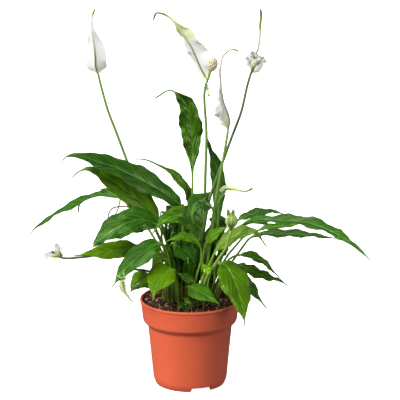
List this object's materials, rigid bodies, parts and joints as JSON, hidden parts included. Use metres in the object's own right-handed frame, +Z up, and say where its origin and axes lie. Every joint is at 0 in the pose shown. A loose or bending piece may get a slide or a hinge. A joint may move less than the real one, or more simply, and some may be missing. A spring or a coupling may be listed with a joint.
{
  "type": "potted peace lily",
  "caption": "Peace lily in a tapered plastic pot with a collar: arching, wavy-edged leaves and white hooded flowers on tall thin stalks, growing from peat.",
  "frame": {"origin": "on the pot's axis within 2 mm, at the middle of the plant's bounding box, on the surface that the pot stands on", "axes": "+Z up along the pot's axis; -Y is the side that faces the viewer of the picture; +X is the viewer's right"},
  "size_m": [0.4101, 0.301, 0.4527],
  "materials": {
    "pot": "satin moulded plastic, terracotta coloured",
    "soil": "loose dark peat with paler fibres",
    "leaf_dark": "glossy, with parallel veins",
    "leaf_mid": "glossy, with parallel veins",
    "leaf_bright": "glossy, with parallel veins",
    "leaf_young": "satin, with parallel veins",
    "stalk": "satin",
    "spathe": "matt, finely veined",
    "spathe_young": "matt, finely veined",
    "spadix": "rough, covered with small florets"
  },
  "bodies": {
    "root": {"pot": "pot", "soil": "soil", "leaf_upright": "leaf_mid", "leaf_twisted": "leaf_dark", "leaf_left_high": "leaf_dark", "leaf_left_bright": "leaf_bright", "leaf_left_far": "leaf_dark", "leaf_left_glossy": "leaf_mid", "leaf_left_yellow": "leaf_bright", "leaf_front_left_dark": "leaf_dark", "leaf_front_bright": "leaf_bright", "leaf_front_left_low": "leaf_mid", "leaf_front_low": "leaf_bright", "leaf_over_rim": "leaf_mid", "leaf_right_low_dark": "leaf_dark", "leaf_right_low": "leaf_mid", "leaf_right_arched": "leaf_mid", "leaf_right_long": "leaf_mid", "leaf_right_middle": "leaf_dark", "leaf_right_upper": "leaf_mid", "leaf_right_back": "leaf_mid", "leaf_right_back_small": "leaf_mid", "leaf_young_right": "leaf_young", "leaf_young_middle": "leaf_young", "leaf_middle_curved": "leaf_bright", "leaf_middle_left": "leaf_mid", "leaf_middle_top": "leaf_dark", "leaf_left_slender": "leaf_bright", "leaf_back": "leaf_dark", "leaf_back_left": "leaf_dark", "leaf_back_right": "leaf_dark", "leaf_back_middle": "leaf_mid", "leaf_left_hidden": "leaf_dark", "leaf_inner_dark": "leaf_dark", "leaf_inner_olive": "leaf_mid", "leaf_front_small": "leaf_mid", "leaf_sprout": "leaf_young", "leaf_seedling": "leaf_bright", "leaf_inner_right": "leaf_dark", "leaf_inner_shade": "leaf_dark", "bloom_left_stalk": "stalk", "bloom_left_spathe": "spathe", "bloom_left_spadix": "spadix", "bloom_top_stalk": "stalk", "bloom_top_spathe": "spathe", "bloom_top_spadix": "spadix", "bloom_furled_stalk": "stalk", "bloom_furled_spathe": "spathe", "bloom_right_stalk": "stalk", "bloom_right_spathe": "spathe", "bloom_right_spadix": "spadix", "bloom_low_left_stalk": "stalk", "bloom_low_left_spathe": "spathe", "bloom_low_left_spadix": "spadix", "bloom_hanging_stalk": "stalk", "bloom_hanging_spathe": "spathe_young", "bloom_curled_stalk": "stalk", "bloom_curled_spathe": "spathe", "bloom_bud_stalk": "stalk", "bloom_bud_spathe": "spathe_young"}
  },
  "joints": []
}
